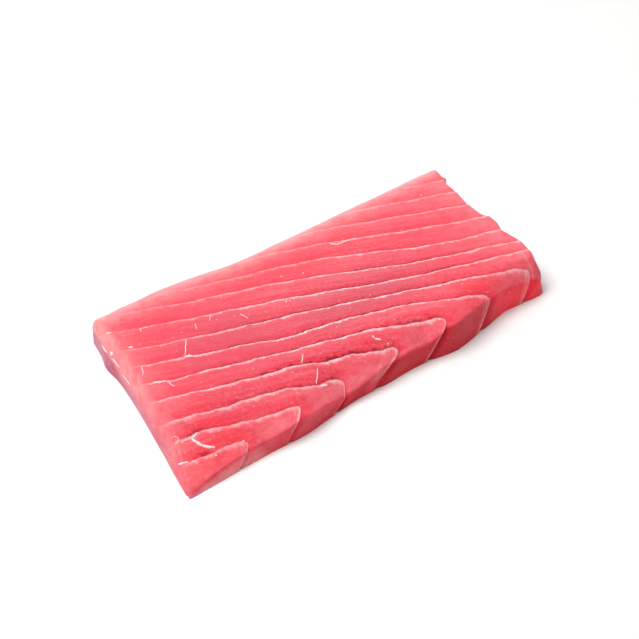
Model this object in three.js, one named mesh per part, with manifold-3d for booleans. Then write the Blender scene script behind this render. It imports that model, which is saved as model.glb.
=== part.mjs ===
// A raw tuna steak: one slab of dark pink loin, cut with a knife on all sides.
// Units are millimetres, +Z is up and the steak rests flat on Z = 0.
//
// X runs along the length and Y from the near long side to the far one. The muscle of a tuna is
// built of flakes, each parted from the next by a thin white wall of connective tissue, a seam.
// The seams cross the steak on a slant and bend back on themselves at the near side, so every
// flake shows as a long lobe. The flakes shrink a little apart where they are cut: each one ends
// in a sharp crest at its seam, and the next starts lower, like shingles.
import * as THREE from 'three';
import { mergeVertices } from 'three/addons/utils/BufferGeometryUtils.js';
import Module from 'manifold-3d';

// ---- The slab -------------------------------------------------------------------------------
const LENGTH = 278; // along either long side
const WIDTH = 141.5; // from the near long side to the far one
const THICKNESS = 21.2; // at the middle
const THICKENING = 0.0033; // rise of the top for each mm of length
const CORNERS = { // the slab's corners in plan, and how round each one is
  nearLeft: { x: -163, y: -74, radius: 3 },
  nearRight: { x: 117.5, y: -67.7, radius: 5 },
  farLeft: { x: -112.2, y: 75.7, radius: 5 },
  farRight: { x: 157.3, y: 67.5, radius: 2.5 },
};
const FAR_BEND = { start: 0.15, end: 0.42 }; // share of the length in which the far side bends
const LEFT_HOLLOW = { depth: 2.1, at: 0.5, reach: 0.35, fades: 0.3 }; // in shares of each side
const RIGHT_EDGE = [ // how far the right side stands out from a straight cut, by its share
  [0.1, 0], [0.2, 0.9], [0.31, -2.6], [0.38, 0], [0.44, -0.3], [0.48, -3.6], [0.59, -5],
  [0.71, -3.2], [0.8, -3.2], [0.828, 0.3], [0.85, -1], [0.92, 0],
];
const RIGHT_EDGE_START = 0.9; // share of the length at which that sets in
const NEAR_BULGES = [ // where the near side stands out, and where it is drawn in
  { size: 4, x: 33, reach: 20 },
  { size: 3, x: -84, reach: 18 },
  { size: -1.8, x: 84, reach: 16 },
];
const UNDERCUTS = { right: 1.5, near: 0.5, far: 2.5 }; // of the walls at the board
const UNDERCUT_REACH = 30; // how far in the underside is drawn by them
const UNDERCUT_BEND = 1.5; // how much of an undercut comes close to the board
const CORNER_FLARE = 1.8; // how far the near right corner stands out again at the board
const LEFT_FLARE = { size: 2.2, at: 0.8, reach: 0.07 }; // the same of the left wall, in shares
const NEAR_FLARE = [ // the same of the near wall, by X
  [-163, 2], [-112, 2], [-85, 0.8], [-60, 1.6], [-40, 0.3], [-15, 2], [15, 0.8], [35, 2.6], [62, 2.8],
  [85, 0.8], [117, 2.6],
];

// ---- The rolled edges -----------------------------------------------------------------------
// The top falls to a rim at each edge. Heights are over the board. The left edge goes by its
// share of the width, the near one by X.
const LEFT_RIM = [[0, 2], [0.1, 3], [0.62, 3], [0.76, 9], [0.86, 11]];
const LEFT_ROLL = [[0.3, 7], [0.7, 5]]; // how far in the fall starts
const NEAR_RIM = [
  [-163, 1.5], [-140, 6], [-120, 7.5], [-100, 8.3], [-84, 12], [-68, 9.5], [-50, 6.5], [-22, 11.2],
  [0, 12.3], [14, 11], [27, 17], [42, 17.6], [60, 16.5], [90, 14], [116.5, 10],
];
const NEAR_ROLL = [[-107, 38], [-56, 30], [5, 20], [47, 14]];
const NEAR_BEND = [[5, 1.5], [89, 1.9]]; // how much of the fall comes last, 1 being a straight slope
const BEND = 2; // the same at the other edges
const RIGHT_ROLL = { side: 2.5, corner: 12 };
const RIGHT_DROP = { side: 2, corner: 10 }; // from the full height down to the rim
const RIGHT_CORNER = 0.12; // share of the right side that is its near corner
const FAR_ROLL = 18;
const FAR_DROP = 9;
const CORNER_BLEND = 4; // how sharply two edges meet at a corner
const SMALLEST_EDGE = 0.8; // the thinnest the slab gets, at the near left tip

// ---- The seams ------------------------------------------------------------------------------
// Each seam at the top: its Y where it crosses X = 0, its slope, the height and the X of the
// crest of its slow swell, and the X of its tip, if it has one, where it turns back at the near
// side. They are listed from the near side to the far one.
const SEAMS = [
  { at: -98, slope: -0.12, tip: -150 },
  { at: -84.5, slope: -0.15, tip: -116 },
  { at: -83.9, slope: -0.226, tip: -78.5 },
  { at: -72.3, slope: -0.23, tip: -43 },
  { at: -65.3, slope: -0.307, swell: 1.6, crest: 0, tip: 1.3 },
  { at: -53.5, slope: -0.365, swell: 0.9, crest: 0, tip: 32 },
  { at: -37.5, slope: -0.374, swell: 1.4, crest: 5, tip: 74 },
  { at: -20.9, slope: -0.396, swell: 0.8, crest: -15, tip: 118 },
  { at: -4, slope: -0.429, swell: 1.6, crest: -30, tip: 148 },
  { at: 14.3, slope: -0.465, swell: 2, crest: -10 },
  { at: 32.4, slope: -0.459, swell: 3.4, crest: 15 },
  { at: 51.8, slope: -0.449, swell: 1.4, crest: 30 },
  { at: 71.5, slope: -0.46 },
  { at: 86, slope: -0.42 },
  { at: 101, slope: -0.4 },
  { at: 118, slope: -0.39 },
  { at: 136, slope: -0.38 },
];
const BENDS = [ // where one seam bends out of its line
  { seam: 2, x: -84, size: -2, reach: 10 },
  { seam: 3, x: -66, size: -3.6, reach: 13 },
  { seam: 4, x: -68, size: 1.8, reach: 14 },
  { seam: 4, x: -8, size: -1.5, reach: 14 },
  { seam: 5, x: 20, size: -0.8, reach: 12 },
  { seam: 6, x: -46, size: -3, reach: 12 },
  { seam: 6, x: 48, size: -3.4, reach: 12 },
  { seam: 7, x: 88, size: -1.5, reach: 14 },
  { seam: 7, x: 110, size: 1.5, reach: 14 },
  { seam: 8, x: -100, size: 2, reach: 30 },
  { seam: 8, x: 120, size: 2.5, reach: 12 },
];
const SWELL_LENGTH = 140; // from one crest of the swell to the next
const TIP_DROP = 2; // how far a seam has curved down when it reaches its tip
const TIP_CURVE = 2.5; // length over which it curves
const FOLD_LINE = -69.3; // Y at which the seams turn back
const FOLD_RISES = [{ x: -32, reach: 24 }, { x: 112, reach: 22 }]; // where that is further in
const FOLD_RISE = 5;
const FOLD_SLANT = 1.2; // how far a folded seam runs back for each mm outwards
const FOLD_SOFTNESS = 0.8;
const SEAM_LEAN = { left: 0.12, right: 0.72, start: -55, end: -25 }; // mm to the left per mm down
const LEAN_PEAK = { more: 0.25, x: -15, reach: 30 };
const WALL_LEAN = [[-100, 0.7], [-80, 1.3], [-55, 1.3], [-40, 0]]; // more below the near rim, by X
const WALL_TOP = { start: -66, end: -58 }; // Y where that fades
const LEFT_LEAN = 1.5; // over the left roll a seam lies this much nearer per mm up
const LEFT_LEAN_REACH = { start: 25, end: 8 }; // distance from the left side where that sets in
const LEFT_SLOPE = 18; // how far the near slope falls at the left side
const LEFT_LEAN_FROM = { start: 12, end: 60 }; // distance from the near side in which it sets in

// ---- The steps from flake to flake ----------------------------------------------------------
const TOP_STEP = 0.5; // height of a step anywhere on the top
const WORN_STEP = 0.8; // more of it around the middle of the near half
const WORN_CENTRE = { x: -10, y: -28 };
const WORN_REACH = { x: 105, y: 42 };
const NEAR_STEPS = [0.5, 1.2, 1.4, 3.2, 1.2, 3.6, 1.2, 1.6, 1.2, 1]; // at the near wall, by seam
const WALL_STEP = 0.7; // at the other three walls
const WALL_STEP_REACH = 4; // how far in from a wall its steps fade
const CREVICE_SHARE = 0.7; // share of a step that is the narrow crevice
const CREVICE_WIDTH = 0.12; // width of the crevice, as a share of the flake
const SCALLOP = { start: 0.05, end: 0.75 }; // share of a flake over which its near step runs out
const LIP = 0.1; // the slab is cut this much above the crests
const NEAR_SHARE = 0.9; // and its near slope falls this much less, so that the flakes cut it

// ---- How finely the surfaces are divided ----------------------------------------------------
const SLAB_GRID = { along: 100, across: 30, up: 5 };
const SPARE_DEPTH = 0.1; // share of the slab's height made below the board, then cut off flat
const PULL = { along: 0.35, across: 0.8 }; // how much finer it gets towards its ends
const FLAKE_ROWS = [0.02, 0.14, 0.4, 0.75, 1]; // rows of points across one flake
const ROWS = { start: -180, end: 170, points: 58 }; // along X
const ROWS_END = -81; // nearer than this Y, rows that drop past their tips are drawn together
const ROWS_PULL = 6;
const BLOCK_BOTTOM = -8;
const HALVINGS = 12; // to find where a wall meets a crest
const PLAN_STEPS = 8; // to find the shares of a place
const MERGE = 1e-6;

const { lerp, clamp, smoothstep } = THREE.MathUtils;
const bell = (offset, reach) => Math.exp(-((offset / reach) ** 2));

// A value from a table of places and values, with straight lines from one to the next.
function between(table, place) {
  const after = table.findIndex(([at]) => at > place);
  if (after === 0) return table[0][1];
  if (after < 0) return table[table.length - 1][1];
  const [start, low] = table[after - 1];
  const [end, high] = table[after];
  return lerp(low, high, (place - start) / (end - start));
}

// ---- Where the flakes lie -------------------------------------------------------------------
// How far the seams lean: for each mm down, a seam lies this much further left.
function seamLean(x) {
  const { left, right, start, end } = SEAM_LEAN;
  const peak = LEAN_PEAK.more * bell(x - LEAN_PEAK.x, LEAN_PEAK.reach);
  return lerp(left, right, smoothstep(x, start, end)) + peak;
}

function seamY(index, x) {
  const { at, slope, swell = 0, crest = 0, tip = Infinity } = SEAMS[index];
  const bends = BENDS.filter(({ seam }) => seam === index)
    .reduce((sum, bend) => sum + bend.size * bell(x - bend.x, bend.reach), 0);
  const wave = bends + swell * Math.cos((2 * Math.PI * (x - crest)) / SWELL_LENGTH);
  return at + slope * x + wave - TIP_DROP * Math.exp((x - tip) / TIP_CURVE);
}

function foldLine(x) {
  return FOLD_RISES.reduce((y, rise) => y + FOLD_RISE * bell(x - rise.x, rise.reach), FOLD_LINE);
}

// How far a seam is drawn nearer over the roll of the left side, below the near slope.
function leftShift(x, y, z) {
  const { nearLeft, farLeft } = CORNERS;
  const fromNear = y - nearLeft.y;
  const fromLeft = x - lerp(nearLeft.x, farLeft.x, fromNear / WIDTH);
  const slope = LEFT_SLOPE * clamp(1 - fromNear / NEAR_ROLL[0][1], 0, 1) ** NEAR_BEND[0][1];
  const reach = 1 - smoothstep(fromLeft, LEFT_LEAN_REACH.end, LEFT_LEAN_REACH.start);
  const growth = smoothstep(fromNear, LEFT_LEAN_FROM.start, LEFT_LEAN_FROM.end);
  return LEFT_LEAN * growth * reach * Math.max(THICKNESS - z - slope, 0);
}

// The place of a point among the flakes: its whole part counts the seams on the near side of
// it, and the rest is how far it lies from that seam to the next.
function flakeAt(x, y, z) {
  const folded = FOLD_SOFTNESS * Math.log1p(Math.exp((foldLine(x) - y) / FOLD_SOFTNESS));
  const belowRim = Math.max(between(NEAR_RIM, x) - z, 0) * (1 - smoothstep(y, WALL_TOP.start, WALL_TOP.end));
  const lean = seamLean(x) * (THICKNESS - z) + between(WALL_LEAN, x) * belowRim;
  const alongTop = x + lean + FOLD_SLANT * folded;
  const across = y + folded - leftShift(x, y, z);
  let near = 0;
  while (near < SEAMS.length - 2 && seamY(near + 1, alongTop) <= across) near += 1;
  const start = seamY(near, alongTop);
  return near + clamp((across - start) / (seamY(near + 1, alongTop) - start), 0, 1);
}

// Depth of a flake's surface below its own crest, as a share of the step.
function shingle(share) {
  return CREVICE_SHARE * Math.exp(-share / CREVICE_WIDTH) + (1 - CREVICE_SHARE) * (1 - share);
}

// ---- The slab's form ------------------------------------------------------------------------
function fullHeight(along) {
  return THICKNESS + THICKENING * lerp(CORNERS.nearLeft.x, CORNERS.farRight.x, along);
}

// How far each edge takes the top below its full height, at a place in the slab's shares.
function falls(along, across) {
  const { nearLeft, nearRight } = CORNERS;
  const full = fullHeight(along);
  const nearX = lerp(nearLeft.x, nearRight.x, along);
  const corner = 1 - smoothstep(across, 0, RIGHT_CORNER);
  const rightRim = full - lerp(RIGHT_DROP.side, RIGHT_DROP.corner, corner);
  const rightRoll = lerp(RIGHT_ROLL.side, RIGHT_ROLL.corner, corner);
  const nearRoll = between(NEAR_ROLL, nearX);
  const fall = (distance, roll, bend, rim) => (
    (full - rim) * clamp(1 - distance / roll, 0, 1) ** bend
  );
  return {
    left: fall(along * LENGTH, between(LEFT_ROLL, across), BEND, between(LEFT_RIM, across)),
    right: fall((1 - along) * LENGTH, rightRoll, BEND, rightRim),
    near: fall(across * WIDTH, nearRoll, between(NEAR_BEND, nearX), between(NEAR_RIM, nearX)),
    far: fall((1 - across) * WIDTH, FAR_ROLL, BEND, full - FAR_DROP),
  };
}

function slabTop(along, across) {
  const { left, right, near, far } = falls(along, across);
  const sum = [left, right, NEAR_SHARE * near, far].reduce((total, fall) => total + fall ** CORNER_BLEND, 0);
  return Math.max(fullHeight(along) + LIP - sum ** (1 / CORNER_BLEND), SMALLEST_EDGE);
}

// The corners of the unit square drawn in to round ones.
function roundedPlan(along, across) {
  const { nearLeft, nearRight, farLeft, farRight } = CORNERS;
  const [left, right] = across < 0.5 ? [nearLeft, nearRight] : [farLeft, farRight];
  const { radius } = along < 0.5 ? left : right;
  const x = along * LENGTH;
  const y = across * WIDTH;
  const centreX = clamp(x, radius, LENGTH - radius);
  const centreY = clamp(y, radius, WIDTH - radius);
  const reach = Math.hypot(x - centreX, y - centreY);
  const square = Math.max(Math.abs(x - centreX), Math.abs(y - centreY));
  const shrink = reach > 0 ? square / reach : 1;
  return [(centreX + (x - centreX) * shrink) / LENGTH, (centreY + (y - centreY) * shrink) / WIDTH];
}

// A place in the slab's own shares, 0 to 1, to X and Y.
function plan(alongShare, acrossShare) {
  const [along, across] = roundedPlan(alongShare, acrossShare);
  const { nearLeft, nearRight, farLeft, farRight } = CORNERS;
  const nearX = lerp(nearLeft.x, nearRight.x, along);
  const farX = lerp(farLeft.x, farRight.x, along);
  const farY = lerp(farLeft.y, farRight.y, smoothstep(along, FAR_BEND.start, FAR_BEND.end));
  const hollow = LEFT_HOLLOW.depth * bell(across - LEFT_HOLLOW.at, LEFT_HOLLOW.reach);
  const x = lerp(nearX, farX, across) + hollow * (1 - smoothstep(along, 0, LEFT_HOLLOW.fades))
    + between(RIGHT_EDGE, across) * smoothstep(along, RIGHT_EDGE_START, 1);
  const bulge = NEAR_BULGES.reduce((sum, { size, x: at, reach }) => sum + size * bell(x - at, reach), 0);
  const y = lerp(lerp(nearLeft.y, nearRight.y, along), farY, across);
  return [x, y - bulge * (1 - across) ** 2];
}

// The shares at which plan gives a place, found by going towards it.
function sharesOf(x, y) {
  const { nearLeft, farLeft } = CORNERS;
  let along = 0.5;
  let across = 0.5;
  for (let step = 0; step < PLAN_STEPS; step += 1) {
    const [reachedX, reachedY] = plan(along, across);
    const acrossMore = (y - reachedY) / WIDTH;
    across += acrossMore;
    along += (x - reachedX - acrossMore * (farLeft.x - nearLeft.x)) / LENGTH;
  }
  return [along, across];
}

// The slab with plain walls: X, Y and Z from a place on a unit cube.
function plainSlab(along, across, up) {
  const lean = (1 - up) ** UNDERCUT_BEND;
  const fade = (distance) => clamp(1 - distance / UNDERCUT_REACH, 0, 1);
  const leftFlare = LEFT_FLARE.size * bell(across - LEFT_FLARE.at, LEFT_FLARE.reach);
  const rightFlare = CORNER_FLARE * (1 - smoothstep(across, 0, RIGHT_CORNER));
  const nearFlare = between(NEAR_FLARE, lerp(CORNERS.nearLeft.x, CORNERS.nearRight.x, along));
  const left = -(1 - up) * leftFlare * fade(along * LENGTH);
  const right = (lean * UNDERCUTS.right - (1 - up) * rightFlare) * fade((1 - along) * LENGTH);
  const near = (lean * UNDERCUTS.near - (1 - up) * nearFlare) * fade(across * WIDTH);
  const far = lean * UNDERCUTS.far * fade((1 - across) * WIDTH);
  const [x, y] = plan(along + (left - right) / LENGTH, across + (near - far) / WIDTH);
  return [x, y, up * slabTop(along, across)];
}

// A grid point of the near wall, moved along it onto the crest of a seam less than half a step
// away, so that the crest is sharp.
function ontoCrest(along, across, up) {
  const flakeNumber = (place) => Math.floor(flakeAt(...plainSlab(place, across, up)));
  let before = along - 0.5 / SLAB_GRID.along;
  let after = along + 0.5 / SLAB_GRID.along;
  const flake = flakeNumber(before);
  if (across * WIDTH > WALL_STEP_REACH || flakeNumber(after) === flake) return along;
  for (let halving = 0; halving < HALVINGS; halving += 1) {
    const middle = (before + after) / 2;
    if (flakeNumber(middle) === flake) before = middle;
    else after = middle;
  }
  return before;
}

// One point of the slab's skin, with the steps from flake to flake in its walls.
function slabPoint(gridAlong, across, up) {
  const along = ontoCrest(gridAlong, across, up);
  const [x, y, height] = plainSlab(along, across, up);
  const flake = flakeAt(x, y, height);
  const share = flake - Math.floor(flake);
  const seam = Math.min(Math.floor(flake), NEAR_STEPS.length - 1);
  const near = clamp(1 - (across * WIDTH) / WALL_STEP_REACH, 0, 1);
  const left = clamp(1 - (along * LENGTH) / WALL_STEP_REACH, 0, 1);
  const right = clamp(1 - ((1 - along) * LENGTH) / WALL_STEP_REACH, 0, 1);
  const far = clamp(1 - ((1 - across) * WIDTH) / WALL_STEP_REACH, 0, 1);
  const scallop = 1 - smoothstep(share, SCALLOP.start, SCALLOP.end);
  return [
    x + WALL_STEP * shingle(share) * (left - right),
    y + NEAR_STEPS[seam] * scallop * near - WALL_STEP * shingle(share) * far,
    height,
  ];
}

// ---- From points to solids ------------------------------------------------------------------
// A closed box of unit size, divided into a grid, with every point moved by place(x, y, z).
function shapedBox(along, across, up, place) {
  const box = new THREE.BoxGeometry(1, 1, 1, along, across, up);
  box.deleteAttribute('normal');
  box.deleteAttribute('uv');
  const geometry = mergeVertices(box, MERGE);
  const points = geometry.attributes.position;
  for (let i = 0; i < points.count; i += 1) {
    points.setXYZ(i, ...place(points.getX(i) + 0.5, points.getY(i) + 0.5, points.getZ(i) + 0.5));
  }
  return geometry;
}

// Grid lines drawn towards both ends of a side, where the slab is rolled.
const toEnds = (share, pull) => share - (pull * Math.sin(2 * Math.PI * share)) / (2 * Math.PI);

function slab() {
  const { along, across, up } = SLAB_GRID;
  return shapedBox(along, across, up, (x, y, z) => (
    slabPoint(toEnds(x, PULL.along), toEnds(y, PULL.across), lerp(-SPARE_DEPTH, 1, z))
  ));
}

// A block under the stepped tops of all the flakes, wider than the steak, which falls with the
// near slope. Past its tip a seam's line drops without end, so the rows are drawn together there.
function flakes() {
  const rows = (SEAMS.length - 1) * FLAKE_ROWS.length - 1;
  return shapedBox(ROWS.points, rows, 1, (rowShare, acrossShare, up) => {
    const x = lerp(ROWS.start, ROWS.end, rowShare);
    const row = Math.round(acrossShare * rows);
    const seam = Math.floor(row / FLAKE_ROWS.length);
    const share = FLAKE_ROWS[row % FLAKE_ROWS.length];
    const line = lerp(seamY(seam, x), seamY(seam + 1, x), share);
    const y = line > ROWS_END ? line : ROWS_END - ROWS_PULL * Math.log1p((ROWS_END - line) / ROWS_PULL);
    const worn = bell(x - WORN_CENTRE.x, WORN_REACH.x) * bell(y - WORN_CENTRE.y, WORN_REACH.y);
    const step = TOP_STEP + WORN_STEP * worn;
    const [along, across] = sharesOf(x, y);
    const crest = fullHeight(along) - falls(along, across).near;
    return [x, y, up > 0 ? crest - step * shingle(share) : BLOCK_BOTTOM];
  });
}

// All that stands over the board.
function overBoard() {
  return new THREE.BoxGeometry(2 * LENGTH, 2 * WIDTH, 2 * THICKNESS).translate(0, 0, THICKNESS);
}

const wasm = await Module();
wasm.setup();

function toSolid(shape) {
  const bare = shape.clone();
  bare.deleteAttribute('normal');
  bare.deleteAttribute('uv');
  const geometry = mergeVertices(bare, MERGE);
  return new wasm.Manifold(new wasm.Mesh({
    numProp: 3,
    vertProperties: geometry.attributes.position.array,
    triVerts: new Uint32Array(geometry.index.array),
  }));
}

function toGeometry(solid) {
  const { vertProperties, triVerts } = solid.getMesh();
  const geometry = new THREE.BufferGeometry();
  geometry.setAttribute('position', new THREE.BufferAttribute(vertProperties, 3));
  geometry.setIndex(new THREE.BufferAttribute(triVerts, 1));
  return geometry;
}

// The steak stands centred on the origin, with its flat underside on Z = 0.
function steak() {
  const cut = toSolid(slab()).intersect(toSolid(overBoard())).intersect(toSolid(flakes()));
  const geometry = toGeometry(cut);
  geometry.computeBoundingBox();
  const { min, max } = geometry.boundingBox;
  geometry.translate(-(min.x + max.x) / 2, -(min.y + max.y) / 2, -min.z);
  geometry.computeVertexNormals();
  return geometry;
}

const rawTuna = new THREE.MeshStandardMaterial({ color: '#e8566a', roughness: 0.38, metalness: 0 });
const steakMesh = new THREE.Mesh(steak(), rawTuna);
steakMesh.name = 'tuna_steak';

const part = new THREE.Group();
part.add(steakMesh);
export default part;
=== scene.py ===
"""A raw tuna steak on a pale studio floor.

The steak is one slab of loin, cut with a knife on all sides. Its muscle is built of flakes, each
parted from the next by a thin white wall of connective tissue, a seam. Loose threads and specks of
that tissue lie on the flesh. All sizes are in millimetres until a mesh is finished. In the slab's
own frame X runs along its length, Y from the near long side to the far one, and Z up from the
surface that it lies on.
"""

import bmesh
import bpy
import numpy as np
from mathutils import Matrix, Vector, noise
from mathutils.bvhtree import BVHTree


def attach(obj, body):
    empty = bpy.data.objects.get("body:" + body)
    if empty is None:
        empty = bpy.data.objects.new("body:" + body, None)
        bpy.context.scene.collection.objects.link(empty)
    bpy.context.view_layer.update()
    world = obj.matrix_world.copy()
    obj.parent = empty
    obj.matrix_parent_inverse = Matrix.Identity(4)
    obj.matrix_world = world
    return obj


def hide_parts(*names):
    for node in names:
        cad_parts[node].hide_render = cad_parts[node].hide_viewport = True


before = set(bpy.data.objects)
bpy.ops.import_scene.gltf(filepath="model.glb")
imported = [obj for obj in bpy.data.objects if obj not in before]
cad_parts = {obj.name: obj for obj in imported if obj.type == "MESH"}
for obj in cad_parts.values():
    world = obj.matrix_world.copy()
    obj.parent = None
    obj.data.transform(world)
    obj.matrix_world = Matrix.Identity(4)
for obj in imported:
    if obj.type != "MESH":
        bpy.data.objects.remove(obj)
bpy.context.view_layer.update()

MM = 0.001

# ---- The slab --------------------------------------------------------------------------------
LENGTH = 278.0  # along either long side
WIDTH = 141.5  # from the near long side to the far one
THICKNESS = 21.2  # at the middle
THICKENING = 0.0033  # rise of the top for each mm of length
# The slab's corners in plan, X, Y and how round each one is.
NEAR_LEFT, NEAR_RIGHT = (-163.0, -74.0, 3.0), (117.5, -67.7, 5.0)
FAR_LEFT, FAR_RIGHT = (-112.2, 75.7, 5.0), (157.3, 67.5, 2.5)
FAR_BEND = (0.15, 0.42)  # share of the length in which the far side bends
LEFT_HOLLOW = (2.1, 0.5, 0.35, 0.3)  # depth, and in shares of each side place, reach and fading
# How far the right side stands out from a straight cut, by its share of the width.
RIGHT_EDGE = (
    (0.1, 0), (0.2, 0.9), (0.31, -2.6), (0.38, 0), (0.44, -0.3), (0.48, -3.6), (0.59, -5),
    (0.71, -3.2), (0.8, -3.2), (0.828, 0.3), (0.85, -1), (0.92, 0),
)
RIGHT_EDGE_START = 0.9  # share of the length at which that sets in
# Where the near side stands out, and where it is drawn in: by how much, at which X and reach.
NEAR_BULGES = ((4, 33, 20), (3, -84, 18), (-1.8, 84, 16))
UNDERCUTS = {"right": 1.5, "near": 0.5, "far": 2.5}  # of the walls at the board
UNDERCUT_REACH = 30.0  # how far in the underside is drawn by them
UNDERCUT_BEND = 1.5  # how much of an undercut comes close to the board
CORNER_FLARE = 1.8  # how far the near right corner stands out again at the board
LEFT_FLARE = (2.2, 0.8, 0.07)  # the same of the left wall, at which share of the width, and reach
# The same of the near wall, by X.
NEAR_FLARE = (
    (-163, 2), (-112, 2), (-85, 0.8), (-60, 1.6), (-40, 0.3), (-15, 2), (15, 0.8), (35, 2.6), (62, 2.8),
    (85, 0.8), (117, 2.6),
)

# ---- The rolled edges ------------------------------------------------------------------------
# The top falls to a rim at each edge. Heights are over the board. The left edge goes by its
# share of the width, the near one by X.
LEFT_RIM = ((0, 2), (0.1, 3), (0.62, 3), (0.76, 9), (0.86, 11))
LEFT_ROLL = ((0.3, 7), (0.7, 5))  # how far in the fall starts
NEAR_RIM = (
    (-163, 1.5), (-140, 6), (-120, 7.5), (-100, 8.3), (-84, 12), (-68, 9.5), (-50, 6.5), (-22, 11.2),
    (0, 12.3), (14, 11), (27, 17), (42, 17.6), (60, 16.5), (90, 14), (116.5, 10),
)
NEAR_ROLL = ((-107, 38), (-56, 30), (5, 20), (47, 14))
NEAR_BEND = ((5, 1.5), (89, 1.9))  # how much of the fall comes last, 1 being a straight slope
BEND = 2  # the same at the other edges
RIGHT_ROLL = (2.5, 12.0)  # at the side and at its near corner
RIGHT_DROP = (2.0, 10.0)  # from the full height down to the rim, at the same two places
RIGHT_CORNER = 0.12  # share of the right side that is its near corner
FAR_ROLL, FAR_DROP = 18.0, 9.0
CORNER_BLEND = 4  # how sharply two edges meet at a corner
SMALLEST_EDGE = 0.8  # the thinnest the slab gets, at the near left tip

# ---- The seams -------------------------------------------------------------------------------
# Each seam at the top: its Y where it crosses X = 0, its slope, the height and the X of the crest
# of its slow swell, and the X of its tip, where it turns back at the near side. They are listed
# from the near side to the far one.
NO_TIP = 400.0
SEAMS = (
    (-98, -0.12, 0, 0, -150),
    (-84.5, -0.15, 0, 0, -116),
    (-83.9, -0.226, 0, 0, -78.5),
    (-72.3, -0.23, 0, 0, -43),
    (-65.3, -0.307, 1.6, 0, 1.3),
    (-53.5, -0.365, 0.9, 0, 32),
    (-37.5, -0.374, 1.4, 5, 74),
    (-20.9, -0.396, 0.8, -15, 118),
    (-4, -0.429, 1.6, -30, 148),
    (14.3, -0.465, 2, -10, NO_TIP),
    (32.4, -0.459, 3.4, 15, NO_TIP),
    (51.8, -0.449, 1.4, 30, NO_TIP),
    (71.5, -0.46, 0, 0, NO_TIP),
    (86, -0.42, 0, 0, NO_TIP),
    (101, -0.4, 0, 0, NO_TIP),
    (118, -0.39, 0, 0, NO_TIP),
    (136, -0.38, 0, 0, NO_TIP),
)
# Where one seam bends out of its line: which seam, the X, how far and over what reach.
BENDS = (
    (2, -132, 2.5, 8), (2, -84, -2, 10), (3, -66, -3.6, 13), (4, -68, 1.8, 14), (4, -8, -1.5, 14),
    (5, -122, -2, 16), (5, 20, -0.8, 12),
    (6, -46, -3, 12), (6, 48, -3.4, 12), (7, 88, -1.5, 14), (7, 110, 1.5, 14), (8, -100, 2, 30),
    (8, 120, 2.5, 12),
)
SWELL_LENGTH = 140.0  # from one crest of the swell to the next
RIPPLES = ((31.0, 0.4), (13.0, 0.22), (5.2, 0.12))  # length and height of a seam's small waves
TIP_DROP = 2.0  # how far a seam has curved down when it reaches its tip
TIP_CURVE = 2.5  # length over which it curves
DROP_LIMIT = 8  # past this many of those lengths it drops no further
FOLD_LINE = -69.3  # Y at which the seams turn back
FOLD_RISES = ((-32, 24), (112, 22))  # X and reach of the stretches where that is further in
FOLD_RISE = 5.0
FOLD_SLANT = 1.2  # how far a folded seam runs back for each mm outwards
FOLD_SOFTNESS = 0.8
SEAM_LEAN = (0.12, 0.72, -55, -25)  # mm to the left for each mm down: at left, at right, from, to
LEAN_PEAK = (0.25, -15, 30)  # more of it around one X, and its reach
# More of it on the near wall, below its rim, by X, and the Y where that sets in.
WALL_LEAN = ((-100, 0.7), (-80, 1.3), (-55, 1.3), (-40, 0))
WALL_TOP = (-66.0, -58.0)
LEFT_LEAN = 1.5  # over the left roll a seam lies this much nearer for each mm up
LEFT_LEAN_REACH = (25.0, 8.0)  # distance from the left side where that sets in
LEFT_SLOPE = 18.0  # how far the near slope falls at the left side
LEFT_LEAN_FROM = (12.0, 60.0)  # distance from the near side in which it sets in

# ---- The steps from flake to flake -----------------------------------------------------------
TOP_STEP = 0.5  # height of a step anywhere on the top
WORN_STEP = 0.8  # more of it around the middle of the near half
WORN_CENTRE = (-10.0, -28.0)
WORN_REACH = (105.0, 42.0)
NEAR_STEPS = np.array([0.5, 1.2, 1.4, 3.2, 1.2, 3.6, 1.2, 1.6, 1.2, 1.0])  # near wall, by seam
WALL_STEP = 0.7  # at the other three walls
STEPS_FROM_LEFT = (-4, 18)  # distance from the left side over which the steps set in
WALL_STEP_REACH = 4.0  # how far in from a wall its steps fade
CREVICE_SHARE = 0.7  # share of a step that is the narrow crevice
CREVICE_WIDTH = 0.12  # width of the crevice, as a share of the flake
STEP_FACE = 0.35  # width of the steep face from a crest down into its crevice
SCALLOP = (0.05, 0.75)  # share of a flake over which its near step runs out
FOOT = 3.0  # below this height over the board, steps and waves lift and lower the flesh less

# ---- The fibres ------------------------------------------------------------------------------
FLAKE_SPACING = 15.0  # from flake to flake, where waves are drawn along them
# Waves of the flesh: height, length along, across and into the flakes, and seed.
FIBRE_WAVES = ((0.10, (16, 3.2, 6), 1), (0.05, (5, 1.3, 2.5), 2))
BODY_WAVES = (0.22, (22, 22, 22), 3)
SEED_SHIFT = (17.3, 5.1, 11.9)  # how far apart two seeds lie in the noise
NEST_SOFTNESS = 1.2  # how softly the fibres turn back beside the near rim
NEST_WIDTH = 3.0  # the least distance of a fibre's path from that rim
GRAIN_APART = 60.0  # from one flake's fibres to the next flake's, so that no two are alike

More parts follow.
